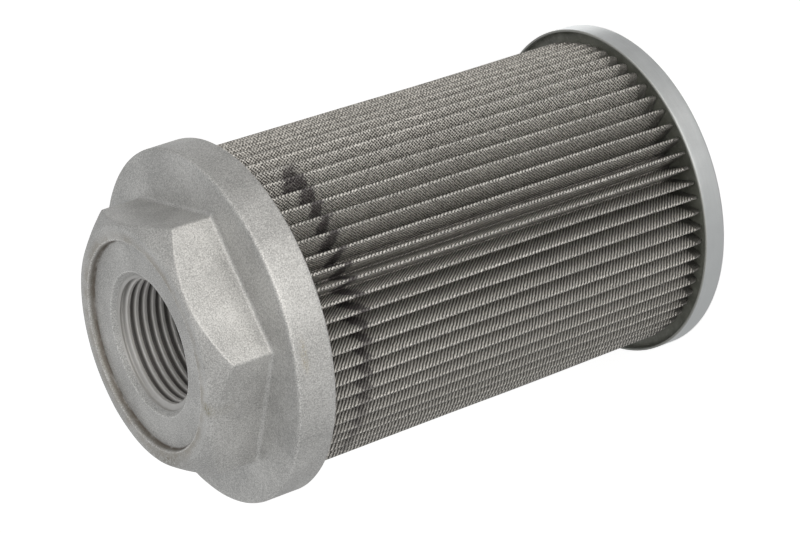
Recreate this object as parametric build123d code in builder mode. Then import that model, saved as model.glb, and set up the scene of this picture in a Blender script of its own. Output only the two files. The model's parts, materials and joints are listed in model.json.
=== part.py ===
from build123d import *

import math
import os

os.makedirs("parts", exist_ok=True)

# Hydraulic suction filter, which screws onto the suction pipe inside an oil tank.
# It stands on its end cap with its threaded head up. Z is its axis, and z = 0 is
# the cap's outer face. All lengths are in millimetres and all angles in degrees.

# Pleat pack: woven wire cloth folded into a star round the support core
pleat_count = 63
pleat_outer_diameter = 80.0
pleat_depth = 9.7
pleat_height = 115.0  # free height between the two adhesive beds
cloth_thickness = 0.5
crest_inside_bend = 0.15  # smallest radius inside the outer folds
valley_inside_bend = 0.2  # the same in the inner folds

# Clip that closes the side seam of the pack, on the crest that faces away from the front
seam_clip_sheet = 0.4
seam_clip_leg = 4.0
seam_clip_clearance = 0.05
seam_crest = 16  # crests counted from +X towards +Y

# Slotted support core
core_clearance = 0.3  # between the core and the inner folds
core_sheet = 0.8
core_slot_width = 9.0
core_slot_length = 18.0
core_slots_round = 8
core_slot_rows = 4
core_slot_margin = 10.0  # from the ends of the free height to the outer rows

# Adhesive beds that the pack's ends stand in
cap_bed_depth = 3.7
head_bed_depth = 3.2

# Pressed end cap
cap_sheet = 0.6
cap_rim_height = 6.4
cap_clearance = 2.4  # between the crests and the inside of the rim
cap_bend = 1.2  # outer radius where the floor turns up into the rim

# Die-cast head: flange with a skirt, and hexagon for the spanner
skirt_clearance = 1.0  # between the crests and the inside of the skirt
skirt_wall = 2.85
skirt_depth = 5.9
skirt_draft = 0.1  # how much narrower the flange is at its face than at the skirt's edge
flange_thickness = 4.0
flange_round = 0.9
hex_across_flats = 60.0
hex_height = 15.1
hex_edge_round = 1.0
hex_root_bevel = 1.0
crown_angle = 41.0  # slope of the turned crown that cuts the hexagon's corners
crown_inset = 0.8  # from the flats in to the crown's top circle
face_ring_width = 4.4  # ring left between the flats and the sealing recess
recess_depth = 1.7
recess_edge = 0.3  # bevel round the recess's mouth

# Port thread G 1, pipe thread of 11 turns to the inch. The bore is plain, at the
# thread's major diameter.
thread_major_diameter = 33.249
thread_lead_in = 1.1  # bevel at both ends of the bore
boss_wall = 4.4
boss_drop = 4.0  # how far the boss and the core's collar reach below the flange plate
collar_clearance = 0.2  # between the collar and the inside of the core
collar_wall = 2.5

# Heights that follow
bed_top = cap_sheet + cap_bed_depth
pleat_top = bed_top + pleat_height
seat_height = pleat_top + head_bed_depth  # underside of the flange plate
flange_face = seat_height + flange_thickness
head_top = flange_face + hex_height
recess_floor = head_top - recess_depth
boss_end = seat_height - boss_drop

# Radii that follow
pleat_outer_radius = pleat_outer_diameter / 2
pleat_inner_radius = pleat_outer_radius - pleat_depth
core_outer_radius = pleat_inner_radius - core_clearance
core_inner_radius = core_outer_radius - core_sheet
collar_radius = core_inner_radius - collar_clearance
cap_inner_radius = pleat_outer_radius + cap_clearance
cap_radius = cap_inner_radius + cap_sheet
skirt_inner_radius = pleat_outer_radius + skirt_clearance
flange_radius = skirt_inner_radius + skirt_wall
flat_radius = hex_across_flats / 2
corner_radius = flat_radius / math.cos(math.radians(30))
recess_radius = flat_radius - face_ring_width
bore_radius = thread_major_diameter / 2
boss_radius = bore_radius + boss_wall


def bend_corners(centre, radius, start, turn, steps):
    """Corners of a small bend, which is drawn in that many straight steps."""
    return [
        centre + Vector(radius, 0).rotate(Axis.Z, start + turn * step / steps)
        for step in range(steps + 1)
    ]


# One fold of the cloth, about the crest on +X. The flank is the straight line that
# touches the crest's bend on one side and the valley's bend on the other. The bends'
# radii are those of the cloth's middle.
half_pitch = 180 / pleat_count
crest_bend = crest_inside_bend + cloth_thickness / 2
valley_bend = valley_inside_bend + cloth_thickness / 2
crest_centre = Vector(pleat_outer_radius - cloth_thickness / 2 - crest_bend, 0)
valley_reach = pleat_inner_radius + cloth_thickness / 2 + valley_bend
valley_centre = Vector(valley_reach, 0).rotate(Axis.Z, half_pitch)
centre_line = valley_centre - crest_centre
centre_bearing = math.degrees(math.atan2(centre_line.Y, centre_line.X))
lean = math.degrees(math.acos((crest_bend + valley_bend) / centre_line.length))
flank_bearing = centre_bearing - lean  # bearing of the flank's normal
flank_normal = Vector(1, 0).rotate(Axis.Z, flank_bearing)


def across(point):
    """The point's mirror image across the plane of symmetry of the crest on +X."""
    return Vector(point.X, -point.Y)


def folded_outline(shift, crest_steps, valley_steps):
    """Draws the pack's closed outline, shift outwards from the middle of the cloth."""
    crest_turn = 2 * flank_bearing
    valley_turn = 2 * (half_pitch - flank_bearing)
    fold_corners = [
        *bend_corners(crest_centre, crest_bend + shift, -flank_bearing, crest_turn, crest_steps),
        *bend_corners(valley_centre, valley_bend - shift, flank_bearing + 180, valley_turn, valley_steps),
    ]
    corners = []
    for fold in range(pleat_count):
        corners += [corner.rotate(Axis.Z, 2 * half_pitch * fold) for corner in fold_corners]
    Polyline(*corners, close=True)


# Pleated mesh: one closed wall of cloth. Each bend has more steps on its wider side.
with BuildPart() as pleated_mesh:
    with BuildSketch(Plane.XY.offset(bed_top)):
        with BuildLine():
            folded_outline(cloth_thickness / 2, crest_steps=4, valley_steps=1)
        make_face()
        with BuildLine():
            folded_outline(-cloth_thickness / 2, crest_steps=1, valley_steps=2)
        make_face(mode=Mode.SUBTRACT)
    extrude(amount=pleat_height)

# Seam clip: sheet folded over one crest, with a leg down each flank
clip_inside = crest_bend + cloth_thickness / 2 + seam_clip_clearance
flank_run = flank_normal.rotate(Axis.Z, 90)
with BuildPart() as seam_clip:
    with BuildSketch(Plane.XY.offset(bed_top)):
        with BuildLine():
            feet = []
            for reach in (clip_inside, clip_inside + seam_clip_sheet):
                shoulder = crest_centre + flank_normal * reach
                foot = shoulder + flank_run * seam_clip_leg
                ThreePointArc(across(shoulder), crest_centre + Vector(reach, 0), shoulder)
                Line(shoulder, foot)
                Line(across(shoulder), across(foot))
                feet.append(foot)
            Line(*feet)
            Line(*(across(foot) for foot in feet))
        make_face()
    extrude(amount=pleat_height)
seam_clip.part = seam_clip.part.rotate(Axis.Z, 2 * half_pitch * seam_crest)

# Core tube: rolled punched sheet, with every second row of slots turned by half a pitch
first_row = bed_top + core_slot_margin + core_slot_length / 2
row_pitch = (pleat_height - 2 * core_slot_margin - core_slot_length) / (core_slot_rows - 1)
punch_planes = []
for row in range(core_slot_rows):
    for place in range(core_slots_round):
        outwards = Vector(1, 0).rotate(Axis.Z, 360 / core_slots_round * (place + row % 2 / 2))
        punch_start = outwards * (core_inner_radius - core_sheet)
        punch_start.Z = first_row + row * row_pitch
        punch_planes.append(Plane(punch_start, x_dir=(0, 0, 1), z_dir=outwards))
with BuildPart() as core_tube:
    with BuildSketch(Plane.XY.offset(cap_sheet)):
        Circle(core_outer_radius)
        Circle(core_inner_radius, mode=Mode.SUBTRACT)
    extrude(amount=seat_height - cap_sheet)
    with BuildSketch(*punch_planes):
        Rectangle(core_slot_length, core_slot_width)
    extrude(amount=3 * core_sheet, mode=Mode.SUBTRACT)

# End cap: pressed cup
cap_bend_centre = Vector(cap_radius - cap_bend, cap_bend)
with BuildPart() as end_cap:
    with BuildSketch(Plane.XZ):
        with BuildLine():
            Polyline(
                (0, 0),
                *bend_corners(cap_bend_centre, cap_bend, -90, 90, steps=3),
                (cap_radius, cap_rim_height),
                (cap_inner_radius, cap_rim_height),
                *bend_corners(cap_bend_centre, cap_bend - cap_sheet, 0, -90, steps=1),
                (0, cap_sheet),
                close=True,
            )
        make_face()
    revolve(axis=Axis.Z)

# Cap bed: ring of adhesive round the core, out to the rim
with BuildPart() as cap_bed:
    with BuildSketch(Plane.XY.offset(cap_sheet)):
        Circle(cap_inner_radius)
        Circle(core_outer_radius, mode=Mode.SUBTRACT)
    extrude(amount=cap_bed_depth)
    floor_edges = cap_bed.edges().filter_by(GeomType.CIRCLE).group_by(Axis.Z)[0]
    chamfer(floor_edges.sort_by(SortBy.RADIUS)[-1], cap_bend - cap_sheet)

# Head bed: the same between the core and the skirt
with BuildPart() as head_bed:
    with BuildSketch(Plane.XY.offset(pleat_top)):
        Circle(skirt_inner_radius)
        Circle(core_outer_radius, mode=Mode.SUBTRACT)
    extrude(amount=head_bed_depth)

# Head casting: flange, skirt, collar and boss in section, then the hexagon
rim_round_centre = Vector(flange_radius - skirt_draft - flange_round, flange_face - flange_round)
with BuildPart() as head_casting:
    with BuildSketch(Plane.XZ):
        with BuildLine():
            Polyline(
                (0, flange_face),
                *bend_corners(rim_round_centre, flange_round, 90, -90, steps=2),
                (flange_radius, seat_height - skirt_depth),
                (skirt_inner_radius, seat_height - skirt_depth),
                (skirt_inner_radius, seat_height),
                (collar_radius, seat_height),
                (collar_radius, boss_end),
                (collar_radius - collar_wall, boss_end),
                (collar_radius - collar_wall, seat_height),
                (boss_radius, seat_height),
                (boss_radius, boss_end),
                (0, boss_end),
                close=True,
            )
        make_face()
    revolve(axis=Axis.Z)
    with BuildSketch(Plane.XY.offset(flange_face)) as hexagon:
        RegularPolygon(flat_radius, 6, major_radius=False)
        fillet(hexagon.vertices(), hex_edge_round)
    extrude(amount=hex_height)
    face_edges = head_casting.edges().filter_by_position(Axis.Z, flange_face, flange_face)
    rim_edge = face_edges.sort_by(SortBy.LENGTH)[-1]
    chamfer(face_edges - ShapeList([rim_edge]), hex_root_bevel)
    with BuildSketch(Plane.XZ):
        crown_start = flat_radius - crown_inset
        crown_run = corner_radius - crown_start + 1
        crown_drop = crown_run * math.tan(math.radians(crown_angle))
        with BuildLine():
            Polyline(
                (crown_start, head_top),
                (crown_start + crown_run, head_top),
                (crown_start + crown_run, head_top - crown_drop),
                close=True,
            )
        make_face()
    revolve(axis=Axis.Z, mode=Mode.SUBTRACT)
    with BuildSketch(Plane.XY.offset(head_top)):
        Circle(recess_radius)
    extrude(amount=-recess_depth, mode=Mode.SUBTRACT)
    top_edges = head_casting.edges().filter_by_position(Axis.Z, head_top, head_top)
    chamfer(top_edges.sort_by(SortBy.RADIUS)[0], recess_edge)
    with BuildSketch(Plane.XY.offset(recess_floor)):
        Circle(bore_radius)
    extrude(amount=boss_end - recess_floor, mode=Mode.SUBTRACT)
    round_edges = head_casting.edges().filter_by(GeomType.CIRCLE)
    port_edges = round_edges.filter_by(lambda edge: abs(edge.radius - bore_radius) < 1e-3)
    chamfer(port_edges, thread_lead_in)

for name, piece in (
    ("head_casting", head_casting),
    ("head_bed", head_bed),
    ("pleated_mesh", pleated_mesh),
    ("seam_clip", seam_clip),
    ("core_tube", core_tube),
    ("cap_bed", cap_bed),
    ("end_cap", end_cap),
):
    piece.part.label = name
    export_step(piece.part, f"parts/{name}.step")
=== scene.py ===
import json
import math
from functools import cached_property

import bmesh
import bpy
from mathutils import Matrix, Vector, noise


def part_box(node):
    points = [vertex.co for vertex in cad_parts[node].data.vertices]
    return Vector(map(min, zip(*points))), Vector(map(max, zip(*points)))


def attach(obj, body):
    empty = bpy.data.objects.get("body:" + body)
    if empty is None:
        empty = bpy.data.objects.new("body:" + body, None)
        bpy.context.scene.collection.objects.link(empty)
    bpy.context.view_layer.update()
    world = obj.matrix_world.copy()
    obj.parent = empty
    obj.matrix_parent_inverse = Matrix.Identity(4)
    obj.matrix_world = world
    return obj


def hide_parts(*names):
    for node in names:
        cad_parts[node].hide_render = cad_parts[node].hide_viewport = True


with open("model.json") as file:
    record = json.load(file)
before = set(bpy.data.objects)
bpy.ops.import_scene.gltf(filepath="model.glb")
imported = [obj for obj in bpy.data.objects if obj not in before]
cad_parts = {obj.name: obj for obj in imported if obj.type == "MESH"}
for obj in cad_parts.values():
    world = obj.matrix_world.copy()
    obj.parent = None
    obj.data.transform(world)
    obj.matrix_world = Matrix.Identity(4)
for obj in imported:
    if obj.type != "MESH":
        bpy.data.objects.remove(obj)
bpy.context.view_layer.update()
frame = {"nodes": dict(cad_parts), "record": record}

# Lengths are in metres. Heights run up the filter's axis, which is Z, from the end cap's
# outer face to the threaded head. Angles round the axis are in degrees from +X towards +Y,
# but in radians in the cloth's bends and in the finishes, whose lengths are in millimetres.
MM = 0.001

# Sizes that the frame gives
BED_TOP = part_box("pleated_mesh")[0].z
PLEAT_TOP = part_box("pleated_mesh")[1].z
PLEAT_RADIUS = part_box("pleated_mesh")[1].x
CAP_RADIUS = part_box("end_cap")[1].x
CAP_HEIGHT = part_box("end_cap")[1].z
CAP_INNER_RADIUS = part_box("cap_bed")[1].x
CORE_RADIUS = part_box("core_tube")[1].x
SKIRT_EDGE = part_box("head_casting")[0].z
HEAD_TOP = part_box("head_casting")[1].z
FLANGE_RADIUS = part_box("head_casting")[1].x
SKIRT_INNER_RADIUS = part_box("head_bed")[1].x
SEAT_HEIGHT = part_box("head_bed")[1].z
MOUNTS = {mount["name"]: mount for mount in frame["record"]["mounts"]}
BORE_RADIUS = MOUNTS["thread_port"]["dims"]["r_mm"] * MM
RECESS_FLOOR = MOUNTS["seal_face"]["pos_m"][2]
FLAT_RADIUS = -MOUNTS["spanner_flat"]["pos_m"][1]

# Sizes repeated from the solids
FLANGE_FACE = SEAT_HEIGHT + 4.0 * MM
SKIRT_DRAFT = 0.1 * MM
FLANGE_ROUND = 0.9 * MM
HEX_EDGE_ROUND = 1.0 * MM
HEX_ROOT_ROUND = 1.0 * MM
CROWN_ANGLE = math.radians(41)
CROWN_START = FLAT_RADIUS - 0.8 * MM
CROWN_ROUND = 0.9 * MM
RECESS_RADIUS = FLAT_RADIUS - 4.4 * MM
RECESS_EDGE = 0.3 * MM
LEAD_IN = 1.1 * MM
BOSS_RADIUS = BORE_RADIUS + 4.4 * MM
BOSS_END = SEAT_HEIGHT - 4.0 * MM
COLLAR_RADIUS = CORE_RADIUS - 1.0 * MM
COLLAR_WALL = 2.5 * MM
CAP_SHEET = 0.6 * MM
CAP_BEND = 1.2 * MM
PLEAT_COUNT = 63
PLEAT_DEPTH = 9.7 * MM
CLOTH_THICKNESS = 0.3 * MM  # woven, so thinner than the solid's plain wall
CREST_BEND = 0.2 * MM
VALLEY_BEND = 0.4 * MM
SEAM_CREST = 16

# Port thread G 1
THREAD_PITCH = 25.4 * MM / 11
THREAD_DEPTH = 1.479 * MM
THREAD_WALL = 0.8 * MM  # how far the sleeve that carries the turns reaches into the metal

# Camera, which looks down at the filter with its own up turned towards +X. The bearing,
# from +Y towards +X, the drop below level and the roll are in degrees, and the lens and
# its sensor in millimetres.
AIM = Vector((-1.71, 0.36, 69.09)) * MM
VIEW_DISTANCE = 645.39 * MM
VIEW_BEARING = 11.75
VIEW_DROP = 30.103
VIEW_ROLL = -108.923
LENS = 117.94
SENSOR_WIDTH = 36


# Points and meshes

ARC_ROOM = 0.57  # most of the shorter straight beside it that a round may take up
FEW_SPANS = 5
NOISE_GAIN = 1.4  # the noise by itself seldom comes near -1 or 1


def polar(radius, degrees, height=0.0):
    """The point at that radius and angle round the axis."""
    angle = math.radians(degrees)
    return Vector((radius * math.cos(angle), radius * math.sin(angle), height))


def ease(value, start, end):
    """0 up to start and 1 from end on, with a smooth rise between them."""
    share = min(max((value - start) / (end - start), 0), 1)
    return share * share * (3 - 2 * share)


def rounded(corners):
    """Closed outline of (r, z) points. Each corner is (r, z, radius, steps, spans):
    its arc has that many steps, and the straight after it that many spans."""
    outline = []
    count = len(corners)
    turned = []
    for index, (r, z, radius, steps, spans) in enumerate(corners):
        here = Vector((r, z))
        before = Vector(corners[index - 1][:2]) - here
        after = Vector(corners[(index + 1) % count][:2]) - here
        room = ARC_ROOM * min(before.length, after.length)
        before.normalize()
        after.normalize()
        half = before.angle(after) / 2
        reach = min(radius / math.tan(half), room)
        middle = here + (before + after).normalized() * reach / math.cos(half)
        start = here + before * reach - middle
        end = here + after * reach - middle
        arc = [start.lerp(end, step / steps).normalized() * start.length for step in range(steps + 1)]
        turned.append([middle + arm for arm in arc])
    for index, arc in enumerate(turned):
        outline.extend(arc)
        spans = corners[index][4]
        start = arc[-1]
        end = turned[(index + 1) % count][0]
        # Where spans are few, the outer ones are short, so that the arcs' shading stays there
        for span in range(1, spans):
            share = span / spans
            if spans < FEW_SPANS:
                share = ease(share, 0, 1)
            outline.append(start.lerp(end, share))
    return outline


def lattice(name, rows, closed=True):
    """A piece whose skin joins rows of points that run round the axis. Closed rows also
    join the last row to the first, so that the skin is a ring."""
    shape = bmesh.new()
    made = [[shape.verts.new(point) for point in row] for row in rows]
    for index in range(len(rows) if closed else len(rows) - 1):
        low = made[index]
        high = made[(index + 1) % len(rows)]
        for place in range(len(low)):
            beside = (place + 1) % len(low)
            shape.faces.new((low[place], low[beside], high[beside], high[place]))
    if not closed:
        shape.faces.new(reversed(made[0]))
        shape.faces.new(made[-1])
    return finished(name, shape)


def finished(name, shape, merge=0.0):
    """Turns the shape into a smooth piece of the scene that rides with the filter."""
    if merge:
        bmesh.ops.remove_doubles(shape, verts=shape.verts, dist=merge)
        bmesh.ops.dissolve_degenerate(shape, edges=shape.edges, dist=merge)
    bmesh.ops.recalc_face_normals(shape, faces=shape.faces)
    mesh = bpy.data.meshes.new(name)
    shape.to_mesh(mesh)
    shape.free()
    mesh.shade_smooth()
    piece = bpy.data.objects.new(name, mesh)
    bpy.context.scene.collection.objects.link(piece)
    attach(piece, "root")
    return piece


def unevenness(point, size, reach):
    """A smooth unevenness from 0 to reach, with bumps about that size."""
    return reach * (0.5 + 0.5 * max(-1, min(1, NOISE_GAIN * noise.noise(point / size))))


# Head casting

CAST_DIP = 0.10 * MM  # how far the cast skin dips in places
CAST_WAVE = 9 * MM  # about how wide those dips are


def hexagon_columns(flat_spans, edge_spans):
    """(angle, radius) pairs round the hexagon, closer together on its rounded edges."""
    edge_centre = (FLAT_RADIUS - HEX_EDGE_ROUND) / math.cos(math.radians(30))
    edge_end = polar(HEX_EDGE_ROUND, 30) + Vector((edge_centre, 0, 0))
    edge_half = math.degrees(math.atan2(edge_end.y, edge_end.x))
    columns = []
    for side in range(6):
        corner = 60 * side
        for step in range(edge_spans):
            arm = polar(HEX_EDGE_ROUND, -30 + 60 * step / edge_spans)
            point = arm + Vector((edge_centre, 0, 0))
            columns.append((corner + math.degrees(math.atan2(point.y, point.x)), point.length))
        for step in range(flat_spans):
            turn = edge_half + (60 - 2 * edge_half) * step / flat_spans
            columns.append((corner + turn, FLAT_RADIUS / math.cos(math.radians(turn - 30))))
    return columns


def head_section(hex_radius):
    """Section of the head where the hexagon has that radius, from the bore's mouth out
    over the face, down the outside and back up through the inside."""
    # Where the crown hardly cuts the flat, its two rounds meet in one
    crown_start = min(CROWN_START, hex_radius - CROWN_ROUND * (1 - math.tan(CROWN_ANGLE / 2)))
    crown_end = HEAD_TOP - (hex_radius - crown_start) * math.tan(CROWN_ANGLE)
    return rounded((
        (BORE_RADIUS, RECESS_FLOOR - LEAD_IN, 0.1 * MM, 2, 2),
        (BORE_RADIUS + LEAD_IN, RECESS_FLOOR, 0.25 * MM, 3, 8),
        (RECESS_RADIUS, RECESS_FLOOR, 0.4 * MM, 4, 2),
        (RECESS_RADIUS, HEAD_TOP - RECESS_EDGE, 0.1 * MM, 2, 1),
        (RECESS_RADIUS + RECESS_EDGE, HEAD_TOP, 0.1 * MM, 2, 5),
        (crown_start, HEAD_TOP, CROWN_ROUND, 4, 4),
        (hex_radius, crown_end, CROWN_ROUND, 4, 12),
        (hex_radius, FLANGE_FACE, HEX_ROOT_ROUND, 6, 8),
        (FLANGE_RADIUS - SKIRT_DRAFT, FLANGE_FACE, FLANGE_ROUND, 6, 12),
        (FLANGE_RADIUS, SKIRT_EDGE, 0.5 * MM, 4, 1),
        (SKIRT_INNER_RADIUS, SKIRT_EDGE, 0.4 * MM, 3, 2),
        (SKIRT_INNER_RADIUS, SEAT_HEIGHT, 0.3 * MM, 2, 2),
        (COLLAR_RADIUS, SEAT_HEIGHT, 0.3 * MM, 2, 1),
        (COLLAR_RADIUS, BOSS_END, 0.3 * MM, 2, 1),
        (COLLAR_RADIUS - COLLAR_WALL, BOSS_END, 0.3 * MM, 2, 1),
        (COLLAR_RADIUS - COLLAR_WALL, SEAT_HEIGHT, 0.3 * MM, 2, 1),
        (BOSS_RADIUS, SEAT_HEIGHT, 0.3 * MM, 2, 1),
        (BOSS_RADIUS, BOSS_END, 0.3 * MM, 2, 1),
        (BORE_RADIUS + LEAD_IN, BOSS_END, 0.2 * MM, 2, 1),
        (BORE_RADIUS, BOSS_END + LEAD_IN, 0.2 * MM, 2, 3),
    ))


def cast_point(outline_point, degrees):
    """The section's point turned to its place, with the casting's slight unevenness."""
    radius, height = outline_point
    point = polar(radius, degrees, height)
    outside = ease(radius, BORE_RADIUS + MM, BORE_RADIUS + 4 * MM)
    dip = unevenness(point, CAST_WAVE, CAST_DIP) * outside
    point.xy *= 1 - dip / max(radius, MM)
    point.z -= dip * ease(height, RECESS_FLOOR - MM, RECESS_FLOOR)
    return point


def make_head():
    columns = hexagon_columns(flat_spans=22, edge_spans=5)
    sections = [head_section(hex_radius) for _, hex_radius in columns]
    rows = [
        [cast_point(section[place], column[0]) for section, column in zip(sections, columns)]
        for place in range(len(sections[0]))
    ]
    head = lattice("head", rows)
    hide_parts("head_casting")
    return head


# Port thread

FLANK_PLACE = 0.42  # where a flank is half up, as a share of the way from root to crest
FLANK_SLOPE = 1.8  # how fast it rises there
THREAD_FADE = 1.2 * MM  # height over which the turns fade in at each mouth
THREAD_CLEARANCE = 0.02 * MM


def thread_radius(degrees, height):
    """Inner radius of the port there, on rounded right-hand turns."""
    turn = (height / THREAD_PITCH - degrees / 360) % 1
    way = abs(2 * turn - 1)
    ridge = min(max((way - FLANK_PLACE) * FLANK_SLOPE + 0.5, 0), 1)
    ridge = 0.5 - 0.5 * math.cos(math.pi * ridge)
    lead_in = ease(RECESS_FLOOR - height, LEAD_IN, LEAD_IN + THREAD_FADE)
    lead_out = ease(height - BOSS_END, LEAD_IN, LEAD_IN + THREAD_FADE)
    return BORE_RADIUS - THREAD_CLEARANCE - THREAD_DEPTH * ridge * lead_in * lead_out


def make_thread():
    """A ring with the turns inside. Its rows climb with the helix and stop at the mouths."""
    columns = 120
    rows_per_turn = 18
    top = RECESS_FLOOR - LEAD_IN
    bottom = BOSS_END + LEAD_IN
    rows = math.ceil((top - bottom) / THREAD_PITCH + 1) * rows_per_turn
    outer_radius = BORE_RADIUS + THREAD_WALL
    shape = bmesh.new()
    inside = []
    outside = []
    for column in range(columns):
        degrees = 360 * column / columns
        climb = THREAD_PITCH * (column / columns - 1)
        ladder = []
        for row in range(rows + 1):
            height = bottom + THREAD_PITCH * row / rows_per_turn + climb
            height = min(max(height, bottom), top)
            ladder.append(shape.verts.new(polar(thread_radius(degrees, height), degrees, height)))
        inside.append(ladder)
        outside.append([shape.verts.new(polar(outer_radius, degrees, z)) for z in (bottom, top)])
    for column in range(columns):
        beside = (column + 1) % columns
        # Past the last column the helix has climbed by one turn
        shift = rows_per_turn if beside == 0 else 0
        here = inside[column]
        there = inside[beside]
        for row in range(rows):
            across = (min(row + shift, rows), min(row + 1 + shift, rows))
            corners = [here[row], there[across[0]], there[across[1]], here[row + 1]]
            if len(set(corners)) > 2:
                shape.faces.new(list(dict.fromkeys(corners)))
        shape.faces.new((here[0], outside[column][0], outside[beside][0], there[shift]))
        shape.faces.new((here[rows], there[rows], outside[beside][1], outside[column][1]))
        shape.faces.new((*outside[column], *reversed(outside[beside])))
    thread = finished("port_thread", shape, merge=0.002 * MM)
    return thread


# Pleated cloth

# Where the crests stand closer or wider than even: (angle, reach, shift), in degrees
GATHERINGS = ((-29, 9, -1.2), (-52, 16, 1.7), (-92, 16, -0.85))
TURN = -0.35  # degrees that the whole pack is turned
SKEW = 0.6  # degrees that the crests turn over 50 mm of height
WAVE = 0.3  # degrees that a crest wavers
CREST_DIP = 0.35 * MM  # how far a crest falls short of the widest in places
END_ROUND = 2.6 * MM  # height over which the crests round off next to the cap
END_DROP = 1.5 * MM  # how far they draw in there
# Degrees from the side seam over which the folds come free to lean and to dip
FREE_TO_LEAN = (3, 25)
FREE_TO_DIP = (3, 12)


def seam_distance(degrees):
    """Degrees from the side seam, either way round."""
    seam = 360 / PLEAT_COUNT * SEAM_CREST
    return abs((degrees - seam + 180) % 360 - 180)


def crest_angle(fold, height):
    """Angle of that fold's crest at that height. The folds stand unevenly, lean together
    and waver, but the side seam's fold is straight."""
    even = 360 / PLEAT_COUNT * fold
    around = (even + 180) % 360 - 180
    shift = TURN + sum(
        amount * math.exp(-(((around - centre) / reach) ** 2))
        for centre, reach, amount in GATHERINGS
    )
    middle = (BED_TOP + PLEAT_TOP) / 2
    shift += SKEW * (height - middle) / (50 * MM)
    # Folds side by side read the noise in places far apart
    shift += WAVE * noise.noise(Vector((fold % PLEAT_COUNT * 3.7, height / (28 * MM), 0.5)))
    return even + shift * ease(seam_distance(even), *FREE_TO_LEAN)


def crest_radius(fold, height):
    """Outer radius of that crest, a little short of the widest in places. Next to the end
    cap the crests round off into the adhesive."""
    even = 360 / PLEAT_COUNT * fold
    dip = 0.5 + 0.5 * noise.noise(Vector((fold % PLEAT_COUNT * 5.3, height / (35 * MM), 7.5)))
    near_end = max(1 - (height - BED_TOP) / END_ROUND, 0)
    drop = CREST_DIP * dip + END_DROP * (1 - math.sqrt(1 - near_end**2))
    return PLEAT_RADIUS - drop * ease(seam_distance(even), *FREE_TO_DIP)


def bend_points(centre, radius, start, turn, steps):
    """(point, outward normal) pairs along a bend of the cloth's middle."""
    pairs = []
    for step in range(steps + 1):
        bearing = start + turn * step / steps
        normal = Vector((math.cos(bearing), math.sin(bearing)))
        pairs.append((centre + normal * radius, normal))
    return pairs


def wrapped(angle):
    """The same direction as an angle from -pi to pi."""
    return (angle + math.pi) % (2 * math.pi) - math.pi


def half_fold(crest, valley, side):
    """(point, normal) pairs from the crest's top to the valley's bottom. Side is 1 where
    the valley is at the larger angle and -1 where it is at the smaller one."""
    between = valley - crest
    bearing = math.atan2(between.y, between.x)
    lean = math.acos((CREST_BEND + VALLEY_BEND) / between.length)
    flank = bearing - side * lean
    crest_bearing = math.atan2(crest.y, crest.x)
    turn = wrapped(flank - crest_bearing)
    pairs = bend_points(crest, CREST_BEND, crest_bearing, turn, 4)
    normal = Vector((math.cos(flank), math.sin(flank)))
    start = crest + normal * CREST_BEND
    end = valley - normal * VALLEY_BEND
    pairs += [(start.lerp(end, share), normal) for share in (0.08, 0.5, 0.92)]
    valley_bearing = math.atan2(-valley.y, -valley.x)
    turn = wrapped(valley_bearing - flank - math.pi)
    inner = bend_points(valley, VALLEY_BEND, flank + math.pi, turn, 2)
    return pairs + [(point, -normal) for point, normal in inner]


def cloth_outline(height):
    """(point, outward normal) pairs along the cloth's middle, once round from the seam."""
    folds = range(SEAM_CREST, SEAM_CREST + PLEAT_COUNT + 1)
    bend_out = CLOTH_THICKNESS / 2 + CREST_BEND
    crests = [
        polar(crest_radius(fold, height) - bend_out, crest_angle(fold, height)).xy for fold in folds
    ]
    valley_radius = PLEAT_RADIUS - PLEAT_DEPTH + CLOTH_THICKNESS / 2 + VALLEY_BEND
    outline = []
    for index in range(PLEAT_COUNT):
        here = crest_angle(folds[index], height)
        there = crest_angle(folds[index + 1], height)
        valley = polar(valley_radius, (here + there) / 2).xy
        outline += half_fold(crests[index], valley, 1)[:-1]
        outline += half_fold(crests[index + 1], valley, -1)[:0:-1]
    return outline


def make_cloth():
    """The cloth's wall, with its outside in fine rows and its inside in coarse ones. For
    the weave, each point keeps its way along and across the cloth in millimetres, its depth
    as a share of the folds', and 0 or 1 for its fold's flank, with 0.5 on the crest."""
    outside_rows = 46
    inside_rows = 8
    # (height, side) of each row, up the outside and back down the inside. A side of 0.5 is
    # half the cloth's thickness outwards from its middle.
    levels = [(BED_TOP + END_ROUND * share, 0.5) for share in (0, 0.06, 0.2, 0.45)]
    levels += [
        (BED_TOP + END_ROUND + (PLEAT_TOP - BED_TOP - END_ROUND) * row / outside_rows, 0.5)
        for row in range(outside_rows + 1)
    ]
    levels += [
        (PLEAT_TOP + (BED_TOP - PLEAT_TOP) * row / inside_rows, -0.5)
        for row in range(inside_rows + 1)
    ]
    rows = []
    across = []
    along = []
    depth = []
    flank = []
    for height, side in levels:
        outline = cloth_outline(height)
        fold_points = len(outline) // PLEAT_COUNT
        row = [point + normal * side * CLOTH_THICKNESS for point, normal in outline]
        way = 0.0
        for index, point in enumerate(row):
            if index:
                way += (outline[index][0] - outline[index - 1][0]).length / MM
            across.append(way)
            along.append(height / MM)
            depth.append((PLEAT_RADIUS - point.length) / PLEAT_DEPTH)
            place = index % fold_points
            flank.append(0.5 if place == 0 else float(place < fold_points / 2))
        rows.append([point.to_3d() + Vector((0, 0, height)) for point in row])
    cloth = lattice("pleated_cloth", rows)
    layers = {"across": across, "along": along, "depth": depth, "flank": flank}
    for name, values in layers.items():
        layer = cloth.data.attributes.new(name, "FLOAT", "POINT")
        layer.data.foreach_set("value", values)
    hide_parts("pleated_mesh")
    return cloth


# End cap and the adhesive in it

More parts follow.
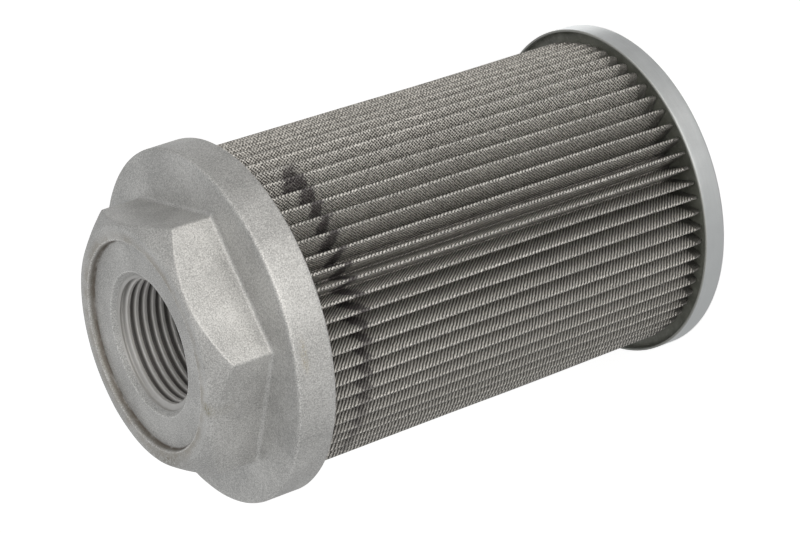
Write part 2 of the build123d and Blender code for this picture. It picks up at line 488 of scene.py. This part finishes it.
FLOOR_RADIUS = 20 * MM  # one flat face fills the cap's floor inside this
CAP_DENT = 0.10 * MM  # how far the cap's side dips in places
CREEP = 1.1 * MM  # how far the adhesive climbs the rim
CREEP_REACH = 0.45 * MM  # how near the rim it does
RIPPLE = 0.25 * MM  # between the folds
RIPPLE_SIZE = 2.5 * MM
# The noise round the rim is read along a circle, and a wider one gives more bumps
DENT_CIRCLE = 1.6
CREEP_CIRCLE = 5


def make_cap():
    """Pressed cup, with a very slightly uneven rim."""
    section = rounded((
        (FLOOR_RADIUS, 0, 0, 1, 6),
        (CAP_RADIUS, 0, CAP_BEND, 8, 6),
        (CAP_RADIUS, CAP_HEIGHT, 0.22 * MM, 3, 1),
        (CAP_INNER_RADIUS, CAP_HEIGHT, 0.1 * MM, 3, 4),
        (CAP_INNER_RADIUS, CAP_SHEET, CAP_BEND - CAP_SHEET, 4, 3),
        (FLOOR_RADIUS, CAP_SHEET, 0, 1, 1),
    ))
    # A corner with no round gives its point twice, and here the first and last do
    section = section[1:-1]
    columns = 180
    rows = []
    for radius, height in section:
        row = []
        for column in range(columns):
            degrees = 360 * column / columns
            dent = noise.noise(polar(DENT_CIRCLE, degrees)) * ease(height, 1.5 * MM, CAP_HEIGHT)
            dip = CAP_DENT * (0.5 + 0.5 * dent)
            row.append(polar(radius - dip, degrees, height))
        rows.append(row)
    cap = lattice("pressed_cap", rows, closed=False)
    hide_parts("end_cap")
    return cap


def make_adhesive():
    """Ring of cured adhesive that creeps up the rim and between the folds."""
    section = rounded((
        (CORE_RADIUS, CAP_SHEET, 0, 1, 2),
        (CAP_INNER_RADIUS, CAP_SHEET, CAP_BEND - CAP_SHEET, 4, 2),
        (CAP_INNER_RADIUS, BED_TOP, 0.1 * MM, 2, 24),
        (CORE_RADIUS, BED_TOP, 0, 1, 2),
    ))
    columns = PLEAT_COUNT * 8
    rows = []
    for radius, height in section:
        row = []
        for column in range(columns):
            degrees = 360 * column / columns
            point = polar(radius, degrees, height)
            if height > BED_TOP - 0.3 * MM:
                climb = math.exp(-(CAP_INNER_RADIUS - radius) / CREEP_REACH)
                lift = CREEP * climb * (0.8 + 0.5 * noise.noise(polar(CREEP_CIRCLE, degrees)))
                ripple = RIPPLE * noise.noise(point / RIPPLE_SIZE)
                point.z += lift + ripple * ease(radius, PLEAT_RADIUS - 8 * MM, PLEAT_RADIUS)
            row.append(point)
        rows.append(row)
    bed = lattice("cap_adhesive", rows)
    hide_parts("cap_bed")
    return bed


# Materials


class Signal:
    """A shader socket that takes part in Python arithmetic."""

    def __init__(self, finish, socket):
        self.finish = finish
        self.socket = socket

    def maths(self, operation, *values):
        return self.finish.add("Math", {"operation": operation}, dict(enumerate(values)))

    def __add__(self, other):
        return self.maths("ADD", self, other)

    def __sub__(self, other):
        return self.maths("SUBTRACT", self, other)

    def __rsub__(self, other):
        return self.maths("SUBTRACT", other, self)

    def __mul__(self, other):
        return self.maths("MULTIPLY", self, other)

    __radd__ = __add__
    __rmul__ = __mul__

    def cosine(self):
        return self.maths("COSINE", self)

    def size(self):
        return self.maths("ABSOLUTE", self)

    def between(self, start, end):
        """0 up to start and 1 from end on, with a smooth rise between them."""
        settings = {"interpolation_type": "SMOOTHSTEP", "clamp": True}
        return self.finish.add("MapRange", settings, {0: self, 1: start, 2: end, 3: 0.0, 4: 1.0})

    def near(self, value, reach):
        """1 at the value, falling smoothly to 0 that far to either side."""
        return 1 - (self - value).size().between(0.0, reach)


class Finish:
    """The shader of a new material, or of the room round the filter, under construction."""

    def __init__(self, owner):
        self.owner = owner
        self.owner.use_nodes = True
        self.tree = self.owner.node_tree
        self.tree.nodes.clear()

    def add(self, kind, settings, values, output=0):
        """Adds a node. Settings go first, then each value or link goes to its socket."""
        node = self.tree.nodes.new("ShaderNode" + kind)
        for key, setting in settings.items():
            setattr(node, key, setting)
        for key, value in values.items():
            if isinstance(value, Signal):
                self.tree.links.new(value.socket, node.inputs[key])
            else:
                node.inputs[key].default_value = value
        return Signal(self, node.outputs[output])

    @cached_property
    def place(self):
        """The position in millimetres."""
        metres = self.add("TexCoord", {}, {}, "Object")
        return self.add("VectorMath", {"operation": "SCALE"}, {0: metres, "Scale": 1 / MM})

    def axes(self):
        """X, Y and Z in millimetres."""
        split = self.add("SeparateXYZ", {}, {0: self.place})
        node = split.socket.node
        return tuple(Signal(self, node.outputs[axis]) for axis in "XYZ")

    def from_axis(self, x, y):
        return self.add("Math", {"operation": "SQRT"}, {0: x * x + y * y})

    def bearing(self, x, y):
        """Angle round the axis in radians, from +X towards +Y."""
        return self.add("Math", {"operation": "ARCTAN2"}, {0: y, 1: x})

    def attribute(self, name):
        return self.add("Attribute", {"attribute_name": name}, {}, "Fac")

    def speckle(self, size, detail=2.0, roughness=0.5, place=None, seed=0.0):
        """Noise from 0 to 1 whose spots are about that size, in millimetres."""
        values = {
            "Vector": place or self.place,
            "Scale": 1 / size,
            "Detail": detail,
            "Roughness": roughness,
            "W": seed,
        }
        return self.add("TexNoise", {"noise_dimensions": "4D"}, values)

    def lines(self, level, upright, detail):
        """Noise drawn out into level lines. Both counts are of its spots per millimetre."""
        counts = (level, level, upright)
        drawn = self.add("VectorMath", {"operation": "MULTIPLY"}, {0: self.place, 1: counts})
        return self.add("TexNoise", {}, {"Vector": drawn, "Scale": 1.0, "Detail": detail})

    def mix(self, share, low, high):
        """A colour between two colours."""
        low = low if isinstance(low, Signal) else (*low, 1)
        high = high if isinstance(high, Signal) else (*high, 1)
        return self.add("Mix", {"data_type": "RGBA"}, {0: share, 6: low, 7: high}, 2)

    def bump(self, height, distance, strength):
        """A normal raised by the height, whose full scale is that distance in millimetres."""
        values = {"Height": height, "Distance": distance * MM, "Strength": strength}
        return self.add("Bump", {}, values)

    def close(self, kind, shader):
        """Adds the output node of that kind, with the shader in it."""
        output = self.tree.nodes.new("ShaderNode" + kind)
        self.tree.links.new(shader.socket, output.inputs["Surface"])
        return self.owner

    def surface(self, **values):
        """Closes the material with its shader."""
        named = {key.replace("_", " "): value for key, value in values.items()}
        return self.close("OutputMaterial", self.add("BsdfPrincipled", {}, named))


# Marks on the head: one on the flange's rim and two on the hexagon's top
OCHRE_BEARING = math.radians(-120)
GRIME_BEARING = math.radians(153)
FLECK_BEARING = math.radians(-141)


def cast_aluminium():
    """Matte die-cast skin with fine grain and faint blotches. Oily dirt lies in the recess,
    the edges carry a painted highlight, and a few brown marks are on the outside."""
    cast = Finish(bpy.data.materials.new("cast_aluminium"))
    x, y, z = cast.axes()
    radius = cast.from_axis(x, y)
    bearing = cast.bearing(x, y)
    floor = RECESS_FLOOR / MM
    top = HEAD_TOP / MM
    face = FLANGE_FACE / MM
    mouth = (BORE_RADIUS + LEAD_IN) / MM
    recess = RECESS_RADIUS / MM
    recess_edge = (RECESS_RADIUS + RECESS_EDGE) / MM
    flat = FLAT_RADIUS / MM
    rim = FLANGE_RADIUS / MM
    blotches = cast.speckle(11, detail=3)
    grain = cast.speckle(0.33, detail=2, roughness=0.8)
    tone = (0.25 * blotches + 0.75 * grain).between(0.34, 0.66)
    colour = cast.mix(tone, (0.34, 0.34, 0.335), (0.72, 0.72, 0.705))
    # A brown film on the recess's floor, a browner wall, and black dirt in their corner
    film = radius.near(recess + 0.8, 2.2) * z.between(floor, floor + 0.4)
    film = film * (0.3 + 0.7 * cast.speckle(2.5, detail=4, seed=2.0).between(0.4, 0.6))
    colour = cast.mix(0.45 * film, colour, (0.30, 0.26, 0.20))
    wall = radius.near(recess, 0.35) * z.near((floor + top) / 2 - 0.2, 0.9)
    colour = cast.mix(0.6 * wall, colour, (0.15, 0.125, 0.095))
    dirt = radius.near(recess - 0.1, 0.6) * z.near(floor, 0.9)
    dirt = dirt * (0.4 + 0.6 * cast.speckle(3, detail=3, seed=9.0).between(0.35, 0.55))
    colour = cast.mix(0.95 * dirt, colour, (0.09, 0.07, 0.05))
    # Painted highlight along the edges of the bore's mouth, the recess and the flange, broken up by
    # the grain
    painted_edge_highlight = radius.near(mouth, 0.4) * z.near(floor, 0.5)
    painted_edge_highlight = painted_edge_highlight + radius.near(recess_edge, 0.35) * z.near(top, 0.4)
    painted_edge_highlight = painted_edge_highlight + radius.near(rim, 0.8) * z.near(face - 0.35, 0.4)
    painted_edge_highlight = painted_edge_highlight * grain.between(0.4, 0.6)
    colour = cast.mix(0.75 * painted_edge_highlight, colour, (0.90, 0.90, 0.88))
    # Marks
    ochre = bearing.near(OCHRE_BEARING, 0.14) * z.near(face - 2.6, 1.4)
    ochre = ochre * radius.between(rim - 1.35, rim - 0.85)
    ochre = ochre * cast.speckle(0.8, detail=2, seed=4.0).between(0.4, 0.6)
    colour = cast.mix(0.6 * ochre, colour, (0.40, 0.35, 0.23))
    soiled = cast.speckle(0.6, detail=3, roughness=0.7, seed=7.0).between(0.36, 0.62)
    soiled = soiled * z.between(face + 8.0, face + 10.0)
    grime = bearing.near(GRIME_BEARING, 0.6) * radius.near(flat - 2.0, 3.2) * soiled
    colour = cast.mix(0.8 * grime, colour, (0.22, 0.20, 0.165))
    fleck = bearing.near(FLECK_BEARING, 0.09) * radius.near(flat - 1.4, 2.4) * soiled
    colour = cast.mix(0.85 * fleck, colour, (0.27, 0.235, 0.14))
    height = 0.6 * grain + 0.4 * cast.speckle(1.6, detail=1, seed=5.0)
    return cast.surface(
        Base_Color=colour,
        Metallic=0.6 - 0.5 * dirt,
        Roughness=0.5 + 0.12 * grain + 0.1 * dirt,
        Normal=cast.bump(height, 0.14, 0.8),
    )


def threaded_aluminium():
    """Cut thread, with crests painted bright as a painted highlight, roots painted dark as painted
    shade, and a plain grey mouth.
    """
    cut = Finish(bpy.data.materials.new("threaded_aluminium"))
    x, y, z = cut.axes()
    radius = cut.from_axis(x, y)
    crest = 1 - radius.between((BORE_RADIUS - THREAD_DEPTH) / MM + 0.05, BORE_RADIUS / MM - 0.45)
    smear = cut.speckle(4.0, detail=3)
    mouth_height = (RECESS_FLOOR - LEAD_IN) / MM
    mouth = z.between(mouth_height - 2.2, mouth_height - 0.6)
    # Painted shade in the roots and a painted highlight on the crests, which fade out at the mouth
    root = (1 - crest) * (1 - mouth)
    colour = cut.mix(root, (0.76, 0.755, 0.74), (0.19, 0.187, 0.185))
    colour = cut.mix(0.9 * mouth, colour, (0.52, 0.52, 0.512))
    colour = cut.mix(0.25 * smear, colour, (0.22, 0.19, 0.15))
    return cut.surface(
        Base_Color=colour,
        Metallic=0.35,
        Roughness=0.4 + 0.2 * smear,
        Normal=cut.bump(cut.lines(0.3, 6.0, detail=2.0), 0.03, 0.5),
    )


# The weave, in millimetres along the cloth
RIB_SPACING = 0.9805
CROSS_SPACING = 0.795
WEAVE_LEAN = 0.9  # how far the ribs climb for each millimetre across the cloth
PAINTED_GLINT_SIZE = 0.36
# The burnt stain, which grows to its full strength on the way round
STAIN_HEIGHT = 104.4
STAIN_FROM = math.radians(-179)
STAIN_FULL = STAIN_FROM + 1.2
STAIN_TO = math.radians(-55)
BLOB_BEARING = math.radians(-63)  # where it is widest


def woven(cloth, across, along, flank):
    """The weave's height and its painted glints. One flank of each fold shows diagonal ribs in strong
    contrast, as painted shade between them, and the other a finer grain, where thinner wires cross
    them."""
    stray = 0.5 * cloth.speckle(1.4, detail=1, seed=12.0)
    climb = WEAVE_LEAN * across
    rib = 0.5 + 0.5 * ((along + climb + stray) * (2 * math.pi / RIB_SPACING)).cosine()
    wires = ((along - climb + stray) * (2 * math.pi / CROSS_SPACING)).cosine()
    unfolded = cloth.add("CombineXYZ", {}, {0: 0.8 * across, 1: along})
    # Random painted glints of the wires, which go into the colour and the bump
    painted_glint = cloth.speckle(PAINTED_GLINT_SIZE, detail=1, place=unfolded, seed=15.0).between(0.35, 0.65)
    fine = 0.2 + 0.25 * rib + 0.16 * wires + 0.26 * painted_glint
    # The ribs on this flank are painted in strong contrast, as painted shade between them
    coarse = 0.06 + 0.84 * rib + 0.06 * wires + 0.16 * painted_glint
    return fine + flank * (coarse - fine), painted_glint


def burnt(cloth, bearing, z, depth, painted_glint):
    """How far the stain covers the cloth: a frayed band part of the way round, which rises
    and falls a little."""
    frayed = cloth.speckle(1.1, detail=3, seed=8.0)
    drift = 2.0 * (cloth.speckle(9, seed=6.0) - 0.5)
    blob = bearing.near(BLOB_BEARING, 0.16)
    full = bearing.between(STAIN_FROM, STAIN_FULL)
    reach = 1.0 + 1.5 * blob + 0.5 * depth.between(0.02, 0.5)
    line = STAIN_HEIGHT + 1.1 * blob + 1.3 * (1 - full)
    off_line = (z - line - drift).size()
    stain = 1 - (off_line - reach + 4.0 * (frayed - 0.5)).between(-0.4, 1.0)
    stain = stain * (1 - 0.2 * painted_glint) * (0.5 + 0.5 * full)
    return stain * (1 - bearing.between(STAIN_TO - 0.03, STAIN_TO))


def wire_cloth():
    """Twilled stainless wire cloth, rougher and painted darker deep in the folds as painted shade.
    Adhesive soaks its foot, with painted shade there, the upper side is painted lighter and the lower
    one darker as painted light and shade, and a burnt stain runs below the head."""
    cloth = Finish(bpy.data.materials.new("wire_cloth"))
    x, y, z = cloth.axes()
    depth = cloth.attribute("depth")
    flank = cloth.attribute("flank")
    weave, painted_glint = woven(cloth, cloth.attribute("across"), cloth.attribute("along"), flank)
    # The weave is painted from near black in the gaps between the wires, as painted shade, to pale on
    # their tops. On the crests the pale is darker, as painted shade that tones down their highlight.
    pale = cloth.mix(depth.between(0.01, 0.05), (0.55, 0.54, 0.51), (0.98, 0.955, 0.905))
    colour = cloth.mix(weave.between(0.27, 0.62), (0.07, 0.068, 0.063), pale)
    colour = cloth.mix(0.15 * cloth.speckle(6, detail=3), colour, (0.40, 0.385, 0.355))
    # Painted shade deep in the folds, stronger on the flank with the strong ribs
    shade = (0.05 + 0.25 * flank) * depth.between(0.08, 0.42)
    colour = cloth.mix(shade, colour, (0.09, 0.086, 0.08))
    # Deep in the folds the colour darkens as painted shade, and the cloth is rougher there
    grime = depth.between(0.4, 1.0)
    colour = cloth.mix(0.38 * grime, colour, (0.12, 0.115, 0.105))
    # Near the foot the folds are darker: adhesive soaking into the cloth, and painted shade where the
    # cloth meets the adhesive
    foot = BED_TOP / MM
    soaked_and_shaded = (1 - z.between(foot + 1.0, foot + 6.0)) * depth.between(0.03, 0.3)
    colour = cloth.mix(0.5 * soaked_and_shaded, colour, (0.07, 0.07, 0.06))
    # Painted light on the +X side, the upper one in the camera's view, and painted shade on the -X
    # side
    painted_light_plus_x = x.between(18.0, 38.0)
    colour = cloth.mix(0.4 * painted_light_plus_x, colour, (0.40, 0.385, 0.355))
    painted_shade_minus_x = (0 - x).between(24.0, 42.0)
    colour = cloth.mix(0.4 * painted_shade_minus_x, colour, (0.12, 0.115, 0.105))
    stain = burnt(cloth, cloth.bearing(x, y), z, depth, painted_glint)
    colour = cloth.mix(0.95 * stain, colour, (0.035, 0.028, 0.032))
    return cloth.surface(
        Base_Color=colour,
        Metallic=0.4 - 0.35 * stain,
        Roughness=0.45 + 0.2 * grime,
        Normal=cloth.bump(weave, 0.28, 1.0),
    )


def galvanised_sheet():
    """Smooth zinc skin with faint clouds and fine lines from rubbing. The -X side, the lower one in
    the camera's view, is painted darker as painted shade, and adhesive is smeared on the cap's lip."""
    zinc = Finish(bpy.data.materials.new("galvanised_sheet"))
    clouds = zinc.speckle(7, detail=4, roughness=0.6)
    fine = zinc.speckle(0.5, detail=2)
    tone = 0.6 * clouds + 0.25 * zinc.lines(0.12, 2.2, detail=3.0) + 0.15 * fine
    colour = zinc.mix(tone.between(0.3, 0.7), (0.76, 0.785, 0.79), (0.88, 0.905, 0.91))
    x, _, z = zinc.axes()
    # Painted shade on the -X side, the lower one in the camera's view
    painted_shade_minus_x = (0 - x).between(-8.0, 28.0)
    colour = zinc.mix(0.7 * painted_shade_minus_x, colour, (0.54, 0.56, 0.565))
    # The lip is darkened by adhesive smeared on it, and by painted shade that dims its highlight
    smear = z.near(CAP_HEIGHT / MM, 0.36)
    colour = zinc.mix(0.8 * smear, colour, (0.2, 0.205, 0.18))
    return zinc.surface(
        Base_Color=colour,
        Metallic=0.8 - 0.7 * smear,
        Roughness=0.3 + 0.12 * clouds + 0.3 * smear,
        Normal=zinc.bump(0.6 * clouds + 0.4 * fine, 0.05, 0.25),
    )


def cured_adhesive():
    """Grey-green casting resin with dust in it."""
    resin = Finish(bpy.data.materials.new("cured_adhesive"))
    clouds = resin.speckle(5, detail=3)
    dust = resin.speckle(0.6, detail=2, seed=4.0)
    colour = resin.mix(clouds.between(0.3, 0.7), (0.115, 0.12, 0.10), (0.20, 0.208, 0.178))
    colour = resin.mix(0.4 * dust.between(0.5, 0.75), colour, (0.31, 0.31, 0.275))
    return resin.surface(
        Base_Color=colour,
        Metallic=0.0,
        Roughness=0.42 + 0.25 * clouds,
        Normal=resin.bump(0.5 * clouds + 0.5 * dust, 0.12, 0.5),
    )


def rolled_steel():
    """Dull oiled steel of the support core."""
    steel = Finish(bpy.data.materials.new("rolled_steel"))
    clouds = steel.speckle(8, detail=4)
    rolled = steel.lines(0.2, 3.0, detail=3.0)
    tone = 0.6 * clouds + 0.4 * rolled
    colour = steel.mix(tone.between(0.3, 0.7), (0.22, 0.22, 0.215), (0.42, 0.42, 0.40))
    return steel.surface(
        Base_Color=colour,
        Metallic=0.85,
        Roughness=0.38 + 0.2 * clouds,
        Normal=steel.bump(rolled, 0.04, 0.4),
    )


def dress(piece, material):
    piece.data.materials.clear()
    piece.data.materials.append(material)


# Stage, lights and camera

OVERHEAD = Vector((0.893, -0.352, -0.280))  # the dark side of the room, straight up in the view
WALL_LIGHT = 0.62
CEILING_LIGHT = 0.36
CEILING_REACH = (0.15, 0.85)  # cosines of the angle from overhead over which the room darkens
FLOOR_HALF = 4  # from the filter to the floor's edges
KEY_SIDE = Vector((-0.02, -0.95, 0.17))
FACE_SIDE = Vector((0.18, 0.85, 0.50))
RIM_SIDE = Vector((0.62, 0.61, -0.5))


def make_floor():
    """Pale plain floor, which neither lights nor shades the filter."""
    shape = bmesh.new()
    signs = ((-1, -1), (1, -1), (1, 1), (-1, 1))
    corners = [shape.verts.new((FLOOR_HALF * x, FLOOR_HALF * y, 0)) for x, y in signs]
    shape.faces.new(corners)
    mesh = bpy.data.meshes.new("floor")
    shape.to_mesh(mesh)
    shape.free()
    floor = bpy.data.objects.new("floor", mesh)
    bpy.context.scene.collection.objects.link(floor)
    floor.visible_glossy = False
    floor.visible_diffuse = False
    floor.visible_shadow = False
    paper = Finish(bpy.data.materials.new("floor_paper"))
    dress(floor, paper.surface(
        Base_Color=(0.8, 0.8, 0.8, 1),
        Roughness=1.0,
        Specular_IOR_Level=0.0,
        Emission_Color=(1, 1, 1, 1),
        Emission_Strength=0.6,
    ))


def make_world():
    """Pale room with a dark ceiling, which the camera sees as plain white."""
    world = bpy.data.worlds.new("studio")
    bpy.context.scene.world = world
    room = Finish(world)
    way = room.add("TexCoord", {}, {}, "Generated")
    upwards = room.add("VectorMath", {"operation": "DOT_PRODUCT"}, {0: way, 1: OVERHEAD}, "Value")
    levels = (upwards, *CEILING_REACH, WALL_LIGHT, CEILING_LIGHT)
    settings = {"interpolation_type": "SMOOTHSTEP"}
    strength = room.add("MapRange", settings, dict(enumerate(levels)))
    lit = room.add("Background", {}, {"Strength": strength})
    seen = room.add("Background", {}, {"Color": (1, 1, 1, 1)})
    camera_ray = room.add("LightPath", {}, {}, "Is Camera Ray")
    room.close("OutputWorld", room.add("MixShader", {}, {0: camera_ray, 1: lit, 2: seen}))


def make_softbox(name, side, distance, size, power, colour=(1, 1, 1), glossy_only=False):
    """Square light that shines at the middle of the filter from that side. One that is
    glossy only shows in reflections and adds no other light."""
    lamp = bpy.data.lights.new(name, "AREA")
    lamp.size = size
    lamp.energy = power
    lamp.color = colour
    softbox = bpy.data.objects.new(name, lamp)
    bpy.context.scene.collection.objects.link(softbox)
    side = side.normalized()
    softbox.location = Vector((0, 0, HEAD_TOP / 2)) + side * distance
    softbox.rotation_mode = "QUATERNION"
    softbox.rotation_quaternion = (-side).to_track_quat("-Z", "Y")
    softbox.visible_camera = False
    softbox.visible_diffuse = not glossy_only


def make_camera():
    lens = bpy.data.cameras.new("camera")
    lens.lens = LENS
    lens.sensor_width = SENSOR_WIDTH
    camera = bpy.data.objects.new("camera", lens)
    bpy.context.scene.collection.objects.link(camera)
    bearing = math.radians(VIEW_BEARING)
    drop = math.radians(VIEW_DROP)
    ahead = Vector((
        math.sin(bearing) * math.cos(drop),
        math.cos(bearing) * math.cos(drop),
        -math.sin(drop),
    ))
    level = ahead.cross(Vector((0, 0, 1))).normalized()
    rise = level.cross(ahead)
    roll = math.radians(VIEW_ROLL)
    right = level * math.cos(roll) + rise * math.sin(roll)
    upwards = right.cross(ahead)
    turned = Matrix((right, upwards, -ahead)).transposed()
    camera.matrix_world = Matrix.Translation(AIM - ahead * VIEW_DISTANCE) @ turned.to_4x4()
    lens.clip_start = 0.01
    bpy.context.scene.camera = camera


zinc_skin = galvanised_sheet()
resin_skin = cured_adhesive()
dress(make_head(), cast_aluminium())
dress(make_thread(), threaded_aluminium())
dress(make_cloth(), wire_cloth())
dress(make_cap(), zinc_skin)
dress(make_adhesive(), resin_skin)
dress(frame["nodes"]["head_bed"], resin_skin)
dress(frame["nodes"]["core_tube"], rolled_steel())
dress(frame["nodes"]["seam_clip"], zinc_skin)

make_floor()
make_world()
make_softbox("key", KEY_SIDE, distance=0.8, size=0.9, power=5.5, colour=(1, 0.965, 0.92))
make_softbox("back", FACE_SIDE, distance=0.9, size=1.2, power=1.1)
make_softbox("rim", RIM_SIDE, distance=0.9, size=0.5, power=0.7, glossy_only=True)
make_camera()
bpy.context.scene.view_settings.view_transform = "Standard"
